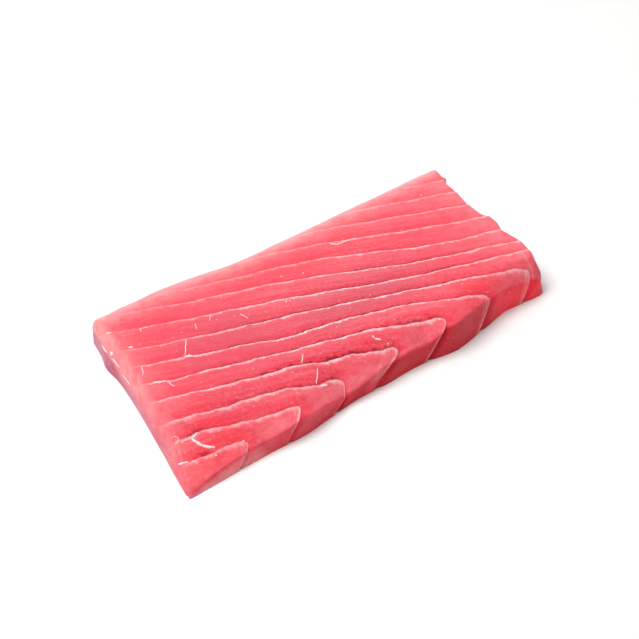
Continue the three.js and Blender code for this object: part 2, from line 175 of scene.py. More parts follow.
# ---- The loose tissue ------------------------------------------------------------------------
# Threads of white tissue that lie on the flesh: X, Y and Z of one end, the heading there in
# degrees, the length, the turn over that length in degrees, and the thickness.
THREADS = (
    (-147.5, -51.3, 15, -15, 5.5, 0, 0.5),  # a fork near the near left corner
    (-142, -52.7, 15, -76, 14, 42, 1.9),
    (-142, -52.3, 15, 8, 5, 0, 1.2),
    (-149.5, -46.5, 16, 10, 11, -250, 0.35),  # a curl beside it
    (-155, -58.3, 9, -55, 7, 45, 1.2),
    (-91, 14, 21, -128, 16, -8, 0.6),  # one across a flake, with a knot at its end
    (-102, 2, 21, -45, 4.5, 20, 1.6),
    (-124, 10, 21, -133, 9, 0, 0.4),
    (-119, 29.5, 21, -45, 2.6, 0, 1.6),
    (-129.5, -6, 21, -50, 7.5, 40, 1.4),
    (-123.5, -10, 21, -90, 6.5, 0, 0.5),
    # These four on the left rim are white tissue that stands partly for painted highlights, the wet glints
    # along that rim
    (-118.5, 55.7, 9, -108, 9, 0, 1.0),  # along the rim of the left side
    (-121.2, 42.5, 12, -108, 3, 0, 2.2),
    (-123.2, 39.7, 10, -106, 10, 0, 0.8),
    (-127.5, 26, 8, -106, 12, 0, 0.6),
    (-117.5, 53, 18, -62, 7, 0, 0.8),
    (-103, 40, 21, -8, 9.5, -8, 0.6),
    (-103, 40, 21, -100, 3, 0, 0.5),
    (-77, 22.7, 21, -121, 6, 0, 0.4),
    (-65.4, 22.8, 21, -146, 5, 0, 0.4),
    (-52, 13.5, 21, -94, 7, 0, 0.4),
    (38, 35, 21, -56, 6, 0, 0.9),
    (41, 31, 21, 0, 15, -28, 0.9),
    (-53.3, -40.8, 21, -135, 8, 0, 0.6),
    (-54, -53, 18, -121, 12, -10, 0.6),  # a hook between two lobes
    (-60.5, -63, 14, -12, 4.5, 0, 1.4),
    (-12, -53, 20, -101, 2.2, 0, 0.7),
    (-12.4, -55, 19, -31, 4, 0, 1.2),
    (2.5, -36.2, 21, -43, 2.5, 0, 0.7),
    (-21.5, 7.3, 21, -132, 4.7, 0, 0.5),
)
SPECKS = (
    (-120, -71), (-139, -72), (-151, -69), (-127, -8), (125, -5), (69, -67), (-9, -64), (27, -67),
    (-35, -7), (-41, 32), (-9, 27), (3, 21), (30, 20), (34, 18), (3, -37), (-23, 4), (121, 39),
)
SPECK = (0, 1.2, 0, 0.7)  # heading, length, turn and thickness of each
THREAD_STEP = 0.8  # length of a thread's straight pieces
THREAD_SWAY = (45.0, 0.7)  # how far a thread turns to and fro, in degrees, and how often per mm
THREAD_SWELL = (0.7, 1.4)  # share by which its thickness varies, and how often per mm
THREAD_ENDS = 0.5  # thickness at its ends, as a share of that at its middle

# ---- Colours ---------------------------------------------------------------------------------
RED_MUSCLE = "ea3248"
PINK_MUSCLE = "ee4c5e"
DULL_MUSCLE = "cc4055"  # greyer, where the flakes are most open
# vivid red; also painted light: the near slope redder where it catches less sheen, and the lit right part
# of the near wall
BRIGHT_RED_AND_PAINTED_LIGHT = "ff2a40"
# painted shade: on the near wall under its rim, and at the near right corner
PAINTED_SHADE_RED = "c90a22"
SHADE_AND_PATCH_RED = "dc1c38"  # painted shade where a flake comes out from under the next, and deep red patches
PAINTED_RIM_LIGHT = "f69da0"  # painted light at the rims, pale where thin flesh is lit from behind
ARM_AND_SHOULDER_HIGHLIGHT = "ea4458"  # a flake's side under its thin wall of tissue; also a painted highlight along the shoulder of the near wall
MAUVE_AND_UNDERCUT_SHADE = "b05e7c"  # mauve of the left wall, darkened as painted shade where it turns under and is undercut
TISSUE = "ffdfe2"  # seams, threads and specks
DARK_RED_AND_SHADE = "8c0c2a"  # dark red inside gaps and torn places; also painted shade in crevices and along the near and right walls

# ---- The mesh --------------------------------------------------------------------------------
GRID = {"x": (71, 3), "y": (38, 3), "z": (18,)}  # cuts of the block, round after round
FINE_RIM = (0.005, 0.01)  # share of the underside's length and width at its edges that stays fine
UNDERSIDE_FACES = 0.04  # share of the faces that is kept inside that
ALIGNED = 0.9  # share of an edge's length along an axis from which it counts as running along it
ONE_LINE = 0.9  # an edge that passes more lines than this isn't cut
HALVINGS = 22  # to find where an edge is crossed
SNAP = 0.16  # a point this near to a seam, as a share of its edge, moves onto it
ON_LINE = 1e-5  # a point this near to a line lies on it, in flakes
FIXED_NEAR = 1e-4  # the same for points that an earlier cut has set, which don't move again
TINY = 1e-6  # less than any real difference, in mm or in shares
SHARP_FROM = 0.9  # radians; a steeper bend between two faces is an edge

# Where each ripple of each seam starts
PHASES = np.random.default_rng(7).uniform(0, 2 * np.pi, (len(SEAMS), len(RIPPLES)))


def linear(code):
    """An sRGB hex colour as the linear one that the shaders use."""
    shares = [int(code[i:i + 2], 16) / 255 for i in (0, 2, 4)]
    return tuple(s / 12.92 if s <= 0.04045 else ((s + 0.055) / 1.055) ** 2.4 for s in shares) + (1,)


def lerp(start, end, share):
    return start + (end - start) * share


def smoothstep(value, low, high):
    share = np.clip((value - low) / (high - low), 0, 1)
    return share * share * (3 - 2 * share)


def bell(offset, reach):
    return np.exp(-((offset / reach) ** 2))


# ---- Where the flakes lie --------------------------------------------------------------------
def seam_lean(x):
    """How far a seam lies further left for each mm down."""
    left, right, start, end = SEAM_LEAN
    more, at, reach = LEAN_PEAK
    return lerp(left, right, smoothstep(x, start, end)) + more * bell(x - at, reach)


def seam_y(seam, x):
    at, slope, swell, crest, tip = SEAMS[seam]
    wave = swell * np.cos(2 * np.pi * (x - crest) / SWELL_LENGTH)
    for place, size, reach in (bend[1:] for bend in BENDS if bend[0] == seam):
        wave = wave + size * bell(x - place, reach)
    for (length, height), phase in zip(RIPPLES, PHASES[seam]):
        wave = wave + height * np.sin(2 * np.pi * x / length + phase)
    drop = TIP_DROP * np.exp(np.minimum((x - tip) / TIP_CURVE, DROP_LIMIT))
    return at + slope * x + wave - drop


def left_shift(x, y, z):
    """How far a seam is drawn nearer over the roll of the left side, below the near slope."""
    from_near = y - NEAR_LEFT[1]
    from_left = x - lerp(NEAR_LEFT[0], FAR_LEFT[0], from_near / WIDTH)
    slope = LEFT_SLOPE * np.clip(1 - from_near / NEAR_ROLL[0][1], 0, 1) ** NEAR_BEND[0][1]
    start, end = LEFT_LEAN_REACH
    lean = LEFT_LEAN * smoothstep(from_near, *LEFT_LEAN_FROM) * (1 - smoothstep(from_left, end, start))
    return lean * np.maximum(THICKNESS - z - slope, 0)


def flake_at(x, y, z):
    """The place of each point among the flakes, the distance along its flake, and its width.

    The whole part of the place counts the seams on the near side of the point, and the rest is
    how far it lies from that seam to the next.
    """
    fold = FOLD_LINE + sum(FOLD_RISE * bell(x - at, reach) for at, reach in FOLD_RISES)
    folded = FOLD_SOFTNESS * np.logaddexp(0, (fold - y) / FOLD_SOFTNESS)
    below_rim = np.maximum(between(NEAR_RIM, x) - z, 0) * (1 - smoothstep(y, *WALL_TOP))
    along = x + seam_lean(x) * (THICKNESS - z) + FOLD_SLANT * folded + between(WALL_LEAN, x) * below_rim
    across = y + folded - left_shift(x, y, z)
    lines = np.array([seam_y(seam, along) for seam in range(len(SEAMS))])
    seam = np.cumprod(lines[1:-1] <= across, axis=0).sum(axis=0)
    points = np.arange(len(across))
    near, far = lines[seam, points], lines[seam + 1, points]
    width = np.maximum(far - near, 1)
    return seam + np.clip((across - near) / width, 0, 1), along, width


# ---- The plain slab --------------------------------------------------------------------------
def full_height(along):
    return THICKNESS + THICKENING * lerp(NEAR_LEFT[0], FAR_RIGHT[0], along)


def between(table, place):
    """A value from a table of places and values, with straight lines from one to the next."""
    return np.interp(place, *np.transpose(table))


def falls(along, across):
    """How far each edge takes the top below its full height."""
    full = full_height(along)
    near_x = lerp(NEAR_LEFT[0], NEAR_RIGHT[0], along)
    corner = 1 - smoothstep(across, 0, RIGHT_CORNER)
    return [(full - rim) * np.clip(1 - distance / roll, 0, 1) ** bend for distance, roll, bend, rim in (
        (along * LENGTH, between(LEFT_ROLL, across), BEND, between(LEFT_RIM, across)),
        ((1 - along) * LENGTH, lerp(*RIGHT_ROLL, corner), BEND, full - lerp(*RIGHT_DROP, corner)),
        (across * WIDTH, between(NEAR_ROLL, near_x), between(NEAR_BEND, near_x), between(NEAR_RIM, near_x)),
        ((1 - across) * WIDTH, FAR_ROLL, BEND, full - FAR_DROP),
    )]


def slab_top(along, across):
    fall = sum(fall ** CORNER_BLEND for fall in falls(along, across)) ** (1 / CORNER_BLEND)
    return np.maximum(full_height(along) - fall, SMALLEST_EDGE)


def rounded_plan(along, across):
    """The corners of the unit square drawn in to round ones."""
    left = np.where(across < 0.5, NEAR_LEFT[2], FAR_LEFT[2])
    right = np.where(across < 0.5, NEAR_RIGHT[2], FAR_RIGHT[2])
    radius = np.where(along < 0.5, left, right)
    x, y = along * LENGTH, across * WIDTH
    centre_x, centre_y = np.clip(x, radius, LENGTH - radius), np.clip(y, radius, WIDTH - radius)
    reach = np.hypot(x - centre_x, y - centre_y)
    square = np.maximum(abs(x - centre_x), abs(y - centre_y))
    shrink = np.where(reach > 0, square / np.maximum(reach, TINY), 1)
    return (centre_x + (x - centre_x) * shrink) / LENGTH, (centre_y + (y - centre_y) * shrink) / WIDTH


def plan(along, across):
    """A place in the slab's own shares, 0 to 1, to X and Y."""
    along, across = rounded_plan(along, across)
    near_x = lerp(NEAR_LEFT[0], NEAR_RIGHT[0], along)
    far_x = lerp(FAR_LEFT[0], FAR_RIGHT[0], along)
    far_y = lerp(FAR_LEFT[1], FAR_RIGHT[1], smoothstep(along, *FAR_BEND))
    hollow, hollow_at, hollow_reach, fading = LEFT_HOLLOW
    x = lerp(near_x, far_x, across)
    x = x + hollow * bell(across - hollow_at, hollow_reach) * (1 - smoothstep(along, 0, fading))
    x = x + between(RIGHT_EDGE, across) * smoothstep(along, RIGHT_EDGE_START, 1)
    bulge = sum(size * bell(x - at, reach) for size, at, reach in NEAR_BULGES)
    y = lerp(lerp(NEAR_LEFT[1], NEAR_RIGHT[1], along), far_y, across)
    return x, y - bulge * (1 - across) ** 2


def plain_slab(along, across, up):
    """The slab with plain walls: X, Y and Z from a place on a unit block."""
    lean = (1 - up) ** UNDERCUT_BEND
    fades = [np.clip(1 - edge / UNDERCUT_REACH, 0, 1) for edge in (
        along * LENGTH, (1 - along) * LENGTH, across * WIDTH, (1 - across) * WIDTH)]
    near_x = lerp(NEAR_LEFT[0], NEAR_RIGHT[0], along)
    corner = 1 - smoothstep(across, 0, RIGHT_CORNER)
    left_flare, left_at, left_reach = LEFT_FLARE
    left = -(1 - up) * left_flare * bell(across - left_at, left_reach) * fades[0]
    right = (lean * UNDERCUTS["right"] - (1 - up) * CORNER_FLARE * corner) * fades[1]
    near = (lean * UNDERCUTS["near"] - (1 - up) * between(NEAR_FLARE, near_x)) * fades[2]
    far = lean * UNDERCUTS["far"] * fades[3]
    x, y = plan(along + (left - right) / LENGTH, across + (near - far) / WIDTH)
    return x, y, up * slab_top(along, across)


# ---- Modelling helpers -----------------------------------------------------------------------
def places(mesh):
    flat = np.zeros(len(mesh.vertices) * 3)
    mesh.vertices.foreach_get("co", flat)
    return flat.reshape(-1, 3)


def move_to(mesh, points):
    mesh.vertices.foreach_set("co", np.asarray(points, float).ravel())
    mesh.update()


def select_where(piece, kind, wanted):
    """Selects the edges or faces for which wanted is true, and nothing else."""
    bpy.context.tool_settings.mesh_select_mode = (False, kind == "edges", kind == "faces")
    shape = bmesh.from_edit_mesh(piece.data)
    for element in list(shape.verts) + list(shape.edges) + list(shape.faces):
        element.select_set(False)
    for element in getattr(shape, kind):
        element.select_set(bool(wanted(element)))
    bmesh.update_edit_mesh(piece.data)


def runs_along(axis):
    def wanted(edge):
        run = edge.verts[1].co - edge.verts[0].co
        return abs(run[axis]) > ALIGNED * run.length
    return wanted


def unit_block():
    """A finely divided block of unit size, with a coarse underside."""
    bpy.ops.object.select_all(action="DESELECT")
    bpy.ops.mesh.primitive_cube_add(size=1, location=(0.5, 0.5, 0.5))
    piece = bpy.context.object
    bpy.ops.object.transform_apply(location=True)
    bpy.ops.object.mode_set(mode="EDIT")
    for axis, rounds in enumerate(GRID.values()):
        for cuts in rounds:
            select_where(piece, "edges", runs_along(axis))
            bpy.ops.mesh.subdivide(number_cuts=cuts)

    def inside_underside(face):
        rim_x, rim_y = FINE_RIM
        return all(v.co.z < TINY and rim_x < v.co.x < 1 - rim_x and rim_y < v.co.y < 1 - rim_y
                   for v in face.verts)
    select_where(piece, "faces", inside_underside)
    bpy.ops.mesh.decimate(ratio=UNDERSIDE_FACES)
    bpy.ops.object.mode_set(mode="OBJECT")
    return piece


def line_count(place, past):
    """Like the place among the flakes, but counted from lines past mm beyond the crests."""
    flake, _, width = flake_at(*plain_slab(*place.T))
    return flake - past / width


def crossings(place, ends, past):
    """The edges that a line crosses, and where each is crossed, as a share of its length."""
    count = line_count(place, past)
    low, high = count[ends].min(axis=1), count[ends].max(axis=1)
    level = np.floor(high)
    crossed = (low < level - ON_LINE) & (high > level + ON_LINE)
    found = np.flatnonzero(crossed & (high - low < ONE_LINE))
    first, second = place[ends[found, 0]], place[ends[found, 1]]
    upwards = count[ends[found, 0]] < level[found]
    start, end = np.zeros(len(found)), np.ones(len(found))
    for _ in range(HALVINGS):
        middle = (start + end) / 2
        point = lerp(first, second, middle[:, None])
        before = (line_count(point, past) < level[found]) == upwards
        start, end = np.where(before, middle, start), np.where(before, end, middle)
    return found, start


def cut_along_seams(mesh, past, fixed=None):
    """Cuts the faces along each line that lies past mm beyond a seam's crest.

    Points on the lines that lie fixed mm beyond the crests stay where they are.
    """
    shape = bmesh.new()
    shape.from_mesh(mesh)
    shape.verts.ensure_lookup_table()
    shape.edges.ensure_lookup_table()
    place = np.array([v.co for v in shape.verts])
    ends = np.array([[v.index for v in e.verts] for e in shape.edges])
    bound = ((place < TINY) | (place > 1 - TINY)).sum(axis=1) > 1
    if fixed is not None:
        count = line_count(place, fixed)
        bound |= abs(np.round(count) - count) < FIXED_NEAR
    moved = []
    for edge, where in zip(*crossings(place, ends, past)):
        if min(where, 1 - where) > SNAP:
            continue
        point = ends[edge][int(where > 0.5)]
        if not bound[point] and point not in moved:
            moved.append(point)
            place[point] = lerp(*place[ends[edge]], where)
            shape.verts[point].co = place[point]
    on_line = [shape.verts[point] for point in moved]
    found, shares = crossings(place, ends, past)
    for edge, where in [(shape.edges[i], w) for i, w in zip(found, shares)]:
        first, second = (v.co.copy() for v in edge.verts)
        _, point = bmesh.utils.edge_split(edge, edge.verts[0], where)
        point.co = first.lerp(second, where)
        on_line.append(point)
    bmesh.ops.connect_verts(shape, verts=on_line)
    bmesh.ops.triangulate(shape, faces=[f for f in shape.faces if len(f.verts) > 4])
    shape.to_mesh(mesh)
    shape.free()


def waves(points, size, seed):
    """Smooth noise from -1 to 1 for points in mm, with bumps of the given size."""
    shift = seed * Vector(SEED_SHIFT)
    return np.array([noise.noise(Vector(p) + shift) for p in points / np.asarray(size)])


# ---- Where the colours lie -------------------------------------------------------------------
# A limit is a function of all that is known of the points, and gives a share for each of them.
def on(measure):
    """A limit that is a measure by itself."""
    return lambda here: here[measure]


def less(share, measure):
    """A limit that a measure lowers by that share."""
    return lambda here: 1 - share * here[measure]


def rising(measure, start, end, low=0, high=1):
    """A limit that goes from low to high as a measure goes from start to end."""
    return lambda here: lerp(low, high, smoothstep(here[measure], start, end))


def about(measure, middle, reach):
    """A limit that is full at one value of a measure, and fades to both sides of it."""
    return lambda here: bell(here[measure] - middle, reach)


def up_to(measure, edge, reach):
    """A limit that is full up to one value of a measure, and fades past it."""
    return lambda here: bell(np.maximum(here[measure] - edge, 0), reach)


def amount(here, most, *limits):
    """How much of a thing there is at each point: its most, times all its limits."""
    for limit in limits:
        most = most * limit(here)
    return most


WALL_BLEND = 1.2  # how far in from an edge its wall's colours reach
FAR_WALL = (13, 10)  # Z over which the far wall's colours set in
PATCHES = ((4, 6, 2), 5)  # size and seed of the torn patches
# Painted shade under the near rim: how far below it that sets in and is full, each at the left and further
# right, and the X over which the one turns into the other.
SHADE_FROM, SHADE_FULL, SHADE_TURN = (-1, -0.5), (7, 1.5), (-70, -40)

# Areas that the colours and lines below go by. Each is the greatest of its rows.
AREAS = {
    "calm": (  # smooth flesh at the left and beside the far rim
        (1, rising("x", -10, -80), rising("y", -50, -20), rising("x", 90, 50)),
        (1, rising("y", 0, 35), rising("x", 90, 50)),
    ),
    "faint": (  # where the grain is faint
        (1, on("calm")),
        (0.8, rising("x", 20, 75)),
    ),
    "thin": (  # painted light: the left, far and right rims lit pale, and a paler painted line up the near right corner
        (1, up_to("left", 1.5, 3.8), rising("y", -60, 20, 0.15, 0.75)),
        (0.3, about("left", 0, 13)),
        (0.8, up_to("far", 8, 13), less(0.45, "on_far")),
        (0.5, about("right", 0, 3)),
        (0.3, about("right", 0, 24)),
        (0.6, about("right", 8, 1.6), rising("near", 26, 12)),
    ),
    "near_left_wall": ((1, on("front"), rising("x", -100, -125), rising("below_rim", 0, 2)),),
    "lobe_sides": ((1, on("front"), rising("below_rim", 1, 6), rising("x", 20, 0)),),
    "left_wall": ((1, on("on_left"), rising("up", 1.0, 0.8)),),
    "near_band": ((1, about("near", 12, 18)),),
    "worn_middle": ((1, on("worn"), rising("near", 30, 50)),),
    "far_band": ((1, about("far", 0, 12)),),
    "far_left": ((1, rising("far", 28, 12), rising("x", 30, -50)),),
    "upper_left": ((1, rising("y", 0, 35), rising("left", 55, 18)),),
    "parted": (  # where the flakes have come apart, in the middle and beside the fork of tissue
        (1, rising("worn", 0.1, 0.75), less(1, "front")),
        (1, about("x", -143, 10), about("y", -53, 14), rising("left", 7, 14), less(1, "front")),
    ),
}
# How much redder the near slope is painted, by X, where it catches less sheen than the top. These two are
# added up.
PAINTED_NEAR_SLOPE = (
    (1, rising("x", -135, -108, 0.9, 0.15), rising("x", 75, 105, 1, 0.4)),
    (0.4, about("x", 62, 14)),
)
PINK_CLOUDS = (0.3, 0.35, (45, 30, 30), 4)  # share of pink, how far it varies, size and seed
# What is laid over that, in turn: the colour, how much of it at most, and its limits.
LAYERS = (
    # The top
    (DULL_MUSCLE, 0.8, on("worn"), rising("near", 12, 45), rising("x", 100, 30)),
    (BRIGHT_RED_AND_PAINTED_LIGHT, 0.4, on("calm")),
    (DULL_MUSCLE, 0.7, rising("x", -30, -60), about("y", 5, 40), rising("left", 12, 40)),
    (PINK_MUSCLE, 0.6, about("near", 12, 20), less(1, "front"), rising("x", -130, -100)),
    # Painted light: the near slope is redder, as it catches less sheen than the top
    (BRIGHT_RED_AND_PAINTED_LIGHT, 1, about("near", 8, 14), on("painted_near_slope"), less(1, "front")),
    # Painted light on the rims
    (PAINTED_RIM_LIGHT, 1, on("thin")),
    # The near wall
    # Painted shade on the near wall, under its rim
    (PAINTED_SHADE_RED, 1, on("front"), on("shade_under_rim")),
    (ARM_AND_SHOULDER_HIGHLIGHT, 0.75, on("front"), about("before", 0, 2.5)),
    # Painted highlight along the shoulder of the near wall, over the lobes' arms
    (ARM_AND_SHOULDER_HIGHLIGHT, 1, on("front"), about("below_rim", 0, 0.8), rising("x", -46, -40), rising("x", 0, -6)),
    (ARM_AND_SHOULDER_HIGHLIGHT, 0.6, about("near", 0, 2), rising("x", -45, -90)),
    # Painted light on the lit right part of the near wall
    (BRIGHT_RED_AND_PAINTED_LIGHT, 1, on("front"), rising("x", 62, 85)),
    # Painted shadow beside each arm on the near wall, where the next flake lies in the arm's shade
    (DARK_RED_AND_SHADE, 0.75, on("front"), about("past", 0, 1.5), rising("below_rim", 1.5, 5),
     rising("x", -105, -70)),
    # The low near wall at the left end: arm tissue, with painted light that is palest at its foot
    (ARM_AND_SHOULDER_HIGHLIGHT, 1, on("near_left_wall")),
    (PAINTED_RIM_LIGHT, 1, on("near_left_wall"), rising("z", 1, 5, 0.7, 0.4)),
    # The right wall
    # Painted shade at the near right corner, and a dark painted line of shade along the right wall
    (PAINTED_SHADE_RED, 0.6, about("right", 0, 5), about("near", 0, 8)),
    (DARK_RED_AND_SHADE, 0.6, about("right", 0, 0.7)),
    # The left wall
    # Mauve with painted shade, low on the left edge and on the undercut left wall, darker in its far half
    (MAUVE_AND_UNDERCUT_SHADE, 1, rising("z", 12, 3), rising("left", 6, 2), rising("y", -60, -25, 0.3, 0.65)),
    (MAUVE_AND_UNDERCUT_SHADE, 0.7, on("left_wall"), rising("y", 0, 25)),
    (DARK_RED_AND_SHADE, 0.5, on("left_wall"), about("y", 35, 13), rising("patches", -0.05, 0.25)),
)
GRAIN = (0.75, 0.32)  # how strong the grain is, and how strong where it is faint
GRAIN_LIMITS = (
    1, less(0.85, "front"), less(0.7, "thin"), less(0.15, "near_band"), less(0.25, "worn_middle"))
CREST = (0.36, 0.91)  # how strong the white line on a crest is, and how strong where it is worn
CREST_LIMITS = (
    1, less(0.5, "front"), less(0.5, "far_band"), rising("left", 1.5, 8), less(0.8, "far_left"),
    less(0.5, "upper_left"), rising("y", 15, 45, 1, 0.65), less(1, "lobe_sides"))
FAR_CREST = (0.4, on("on_far"))  # the least that it is on the far wall
LINE_WIDTH = (2.0, 1.3)  # how wide that line is, and how wide where it is worn
NEAR_LINE_WIDTH = (1.2, on("front"), rising("x", -20, 20))  # more of it on the near wall


def known(along, across, up, body, flakes):
    """All that the limits go by, for each point: distances in mm, and shares from 0 to 1."""
    x, y, z = body.T
    flake, _, width, worn = flakes
    share = flake - np.floor(flake)
    left, right, near, far = (
        along * LENGTH, (1 - along) * LENGTH, across * WIDTH, (1 - across) * WIDTH)
    front, on_left, on_far = (1 - smoothstep(side, 0, WALL_BLEND) for side in (near, left, far))
    below_rim = np.maximum(slab_top(along, across * 0) - z, 0)
    turn = smoothstep(x, *SHADE_TURN)
    here = {
        "x": x, "y": y, "z": z, "up": up,
        "left": left, "right": right, "near": near, "far": far,
        "past": share * width, "before": (1 - share) * width, "worn": worn,
        "front": front, "on_left": on_left, "on_far": on_far * smoothstep(z, *FAR_WALL),
        "below_rim": below_rim,
        "shade_under_rim": smoothstep(below_rim, lerp(*SHADE_FROM, turn), lerp(*SHADE_FULL, turn)),
        "patches": waves(body, *PATCHES),
    }
    here["painted_near_slope"] = sum(amount(here, *row) for row in PAINTED_NEAR_SLOPE)
    for area, rows in AREAS.items():
        here[area] = np.maximum.reduce([amount(here, *row) for row in rows])
    return here


def blend(tint, colour, share):
    return lerp(tint, np.array(linear(colour)), np.clip(share, 0, 1)[:, None])


def paint(mesh, along, across, up, body, flakes):
    """Writes on the mesh what its material needs to know of each point."""
    here = known(along, across, up, body, flakes)
    flake, along_flake, width, worn = flakes

    # The alpha of the tint is how strong the grain is.
    pink, varying, size, seed = PINK_CLOUDS
    tint = np.tile(linear(RED_MUSCLE), (len(body), 1))
    tint = blend(tint, PINK_MUSCLE, pink + varying * waves(body, size, seed))
    for colour, most, *limits in LAYERS:
        tint = blend(tint, colour, amount(here, most, *limits))
    tint[:, 3] = lerp(*GRAIN, here["faint"]) * amount(here, *GRAIN_LIMITS)

    # Fibres run beside the far seam of their flake, and turn back with it along the near rim.
    rim = np.maximum(here["y"] - FOLD_LINE, 0) + NEST_WIDTH
    nested = -NEST_SOFTNESS * np.logaddexp(-here["before"] / NEST_SOFTNESS, -rim / NEST_SOFTNESS)
    grain = np.stack([along_flake, np.floor(flake) * GRAIN_APART + nested, here["z"]], axis=1)

    # The lines hold how strong a crest's line is, how far its flake has parted, and its width.
    crest = lerp(*CREST, worn) * amount(here, *CREST_LIMITS)
    lines = np.stack([
        np.maximum(crest, amount(here, *FAR_CREST)),
        here["parted"],
        lerp(*LINE_WIDTH, worn) + amount(here, *NEAR_LINE_WIDTH),
    ], axis=1)
    for name, kind, field, value in (
            ("tint", "FLOAT_COLOR", "color", tint),
            ("flake", "FLOAT", "value", flake),
            ("flake_width", "FLOAT", "value", width * MM),
            ("lines", "FLOAT_VECTOR", "vector", lines),
            ("grain", "FLOAT_VECTOR", "vector", grain * MM)):
        attribute = mesh.attributes.new(name, kind, "POINT")
        attribute.data.foreach_set(field, value.astype(np.float32).ravel())


# ---- The steak -------------------------------------------------------------------------------
def relief(along, across, up, body):
    """How far each point of the plain slab moves inward, and its place among the flakes."""
    x, y, z = body.T
    flake, along_flake, width = flake_at(x, y, z)
    share = flake - np.floor(flake)
    worn = bell(x - WORN_CENTRE[0], WORN_REACH[0]) * bell(y - WORN_CENTRE[1], WORN_REACH[1])
    near_wall = np.clip(1 - across * WIDTH / WALL_STEP_REACH, 0, 1)
    side_walls = np.clip(sum(np.clip(1 - edge / WALL_STEP_REACH, 0, 1) for edge in (
        along * LENGTH, (1 - along) * LENGTH, (1 - across) * WIDTH)), 0, 1)
    face = np.clip(share * width / STEP_FACE, 0, 1)
    shingle = face * (CREVICE_SHARE * np.exp(-share / CREVICE_WIDTH) + (1 - CREVICE_SHARE) * (1 - share))
    shingle = shingle * smoothstep(along * LENGTH, *STEPS_FROM_LEFT)
    depth = (TOP_STEP + WORN_STEP * worn) * shingle * (up > 0) * (1 - side_walls)
    depth += WALL_STEP * shingle * side_walls
    grain = np.stack([along_flake, flake * FLAKE_SPACING, z], axis=1)
    for height, size, seed in FIBRE_WAVES:
        depth += height * waves(grain, size, seed)
    height, size, seed = BODY_WAVES
    depth += height * waves(body, size, seed)
    scallop = face * (1 - smoothstep(share, *SCALLOP))
    step = NEAR_STEPS[np.minimum(flake.astype(int), len(NEAR_STEPS) - 1)]
    return depth, step * scallop * near_wall, (flake, along_flake, width, worn)


def steak():
    piece = unit_block()
    piece.name = piece.data.name = "tuna_loin_steak"
    mesh = piece.data
    cut_along_seams(mesh, 0)
    cut_along_seams(mesh, STEP_FACE, fixed=0)

    along, across, up = places(mesh).T
    body = np.stack(plain_slab(along, across, up), axis=1)
    move_to(mesh, body)
    normal = np.zeros(len(body) * 3)
    mesh.vertex_normals.foreach_get("vector", normal)
    depth, near_step, flakes = relief(along, across, up, body)
    inward = -normal.reshape(-1, 3) * depth[:, None]
    inward[:, 1] += near_step
    inward[:, 2] *= smoothstep(body[:, 2], 0, FOOT)
    on_board = (up < TINY) & (abs(along - 0.5) < 0.5 - TINY) & (abs(across - 0.5) < 0.5 - TINY)
    inward[on_board] = 0
    move_to(mesh, body + inward)
    paint(mesh, along, across, up, body, flakes)
    return piece


def thread_path(surface, x, y, z, heading, length, turn, thickness):
    """A thread's places on the surface from one end to the other, and how thick it is at each."""
    count = max(round(length / THREAD_STEP), 2)
    sway, often = THREAD_SWAY
    path = [surface.find_nearest(Vector((x, y, z)))[0]]
    for step in range(count):
        lean = sway * noise.noise(path[-1] * often)
        angle = np.radians(heading + turn * step / count + lean)
        ahead = Vector((np.cos(angle), np.sin(angle), 0)) * (length / count)
        path.append(surface.find_nearest(path[-1] + ahead)[0])
    taper = lerp(THREAD_ENDS, 1, np.sin(np.pi * np.linspace(0, 1, count + 1)))
    varying, often = THREAD_SWELL
    swell = [1 + varying * noise.noise(place * often) for place in path]
    return list(zip(path, thickness * taper * swell))


def loose_tissue(mesh):
    """Every thread and speck, as thin tubes sunk by half into the steak."""
    surface = BVHTree.FromPolygons([v.co for v in mesh.vertices], [p.vertices for p in mesh.polygons])
    lines = bpy.data.curves.new("loose_tissue", "CURVE")
    lines.dimensions = "3D"
    lines.bevel_depth = 0.5  # so that a point's radius, below, is the thickness there
    lines.bevel_resolution = 1
    lines.use_fill_caps = True
    for thread in THREADS + tuple((x, y, THICKNESS, *SPECK) for x, y in SPECKS):
        path = thread_path(surface, *thread)
        spline = lines.splines.new("POLY")
        spline.points.add(len(path) - 1)
        for point, (place, thickness) in zip(spline.points, path):
            point.co = (*place, 1)
            point.radius = thickness
    piece = bpy.data.objects.new("loose_tissue", lines)
    bpy.context.scene.collection.objects.link(piece)
    bpy.ops.object.select_all(action="DESELECT")
    piece.select_set(True)
    bpy.context.view_layer.objects.active = piece
    bpy.ops.object.convert(target="MESH")
    return bpy.context.object


def into_frame(piece, shift):
    """Turns a finished mesh from mm to metres and sets it where the frame has it."""
    move_to(piece.data, (places(piece.data) + shift) * MM)


# ---- Materials -------------------------------------------------------------------------------
def add(tree, kind, inputs=(), **settings):
    """Adds one node with its settings. inputs gives values, nodes or sockets, in order or by name."""
    node = tree.nodes.new(kind)
    for name, value in settings.items():
        setattr(node, name, value)
    for name, value in inputs.items() if isinstance(inputs, dict) else enumerate(inputs):
        if isinstance(value, bpy.types.Node):
            value = value.outputs[0]
        if isinstance(value, bpy.types.NodeSocket):
            tree.links.new(value, node.inputs[name])
        else:
            node.inputs[name].default_value = value
    return node


MIX_A, MIX_B, MIXED = 6, 7, 2  # a Mix node's sockets for its two colours, and for the result


